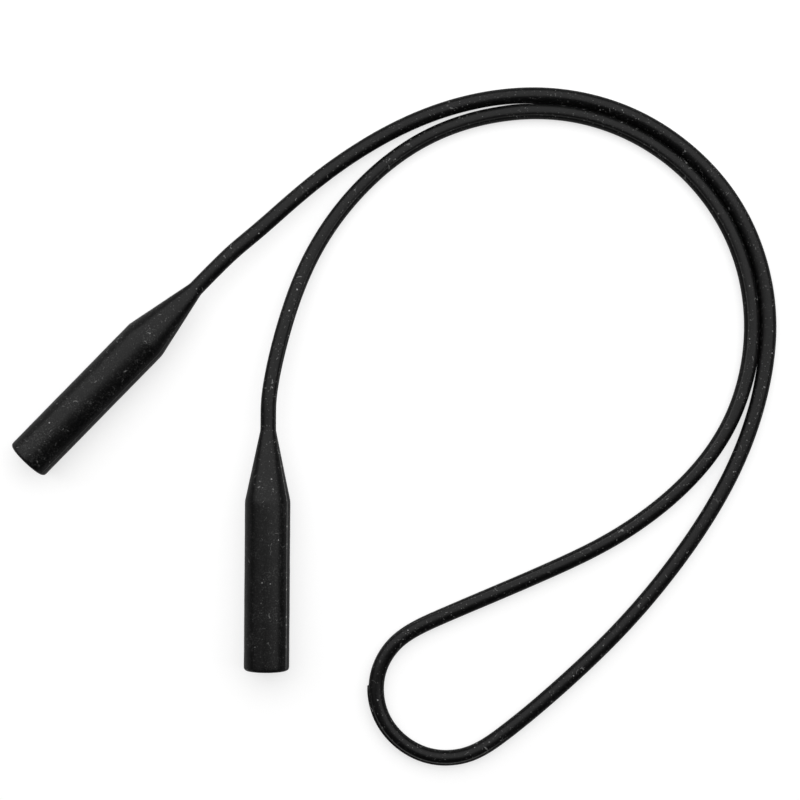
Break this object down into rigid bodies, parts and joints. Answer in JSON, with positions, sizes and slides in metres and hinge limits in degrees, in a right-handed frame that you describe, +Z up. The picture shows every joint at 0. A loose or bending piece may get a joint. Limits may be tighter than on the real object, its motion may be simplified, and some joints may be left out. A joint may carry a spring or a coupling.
{
  "type": "eyeglass retainer strap",
  "caption": "Soft moulded glasses strap: a thin round cord, laid doubled over, that ends in tapered hollow sleeves which grip the temples.",
  "frame": {"origin": "on the table, midway between the two sleeves (the centre of their box)", "axes": "+Z up from the table, +Y against the way the right sleeve's mouth faces, +X from the left sleeve towards the right one and the loop of cord"},
  "size_m": [0.1514, 0.1351, 0.009],
  "materials": {
    "silicone": "black satin silicone with fine pale dust and lint"
  },
  "bodies": {
    "cord": {"cord": "silicone"},
    "left_neck": {"left_neck": "silicone"},
    "left_sleeve": {"left_sleeve": "silicone"},
    "right_neck": {"right_neck": "silicone"},
    "right_sleeve": {"right_sleeve": "silicone"}
  },
  "joints": [
    {"name": "left_neck_lift", "type": "hinge", "parent": "cord", "child": "left_neck", "pos_m": [0.01862, 0.0456, 0.0041], "axis": [-0.7193, 0.6947, 0], "range_deg": [0, 60], "stiffness_Nm_per_rad": 0.0011, "deforming": ["left_neck"]},
    {"name": "left_sleeve_swing", "type": "hinge", "parent": "left_neck", "child": "left_sleeve", "pos_m": [0.01108, 0.03848, 0.0045], "axis": [0, 0, 1], "range_deg": [-60, 25], "stiffness_Nm_per_rad": 0.0011, "deforming": ["left_neck"]},
    {"name": "right_neck_lift", "type": "hinge", "parent": "cord", "child": "right_neck", "pos_m": [0.0241, 0.02101, 0.00409], "axis": [-1, 0, 0], "range_deg": [0, 60], "stiffness_Nm_per_rad": 0.0011, "deforming": ["right_neck"]},
    {"name": "right_sleeve_swing", "type": "hinge", "parent": "right_neck", "child": "right_sleeve", "pos_m": [0.0229, 0.0118, 0.0045], "axis": [0, 0, 1], "range_deg": [-25, 15], "stiffness_Nm_per_rad": 0.0011, "deforming": ["right_neck"]}
  ]
}
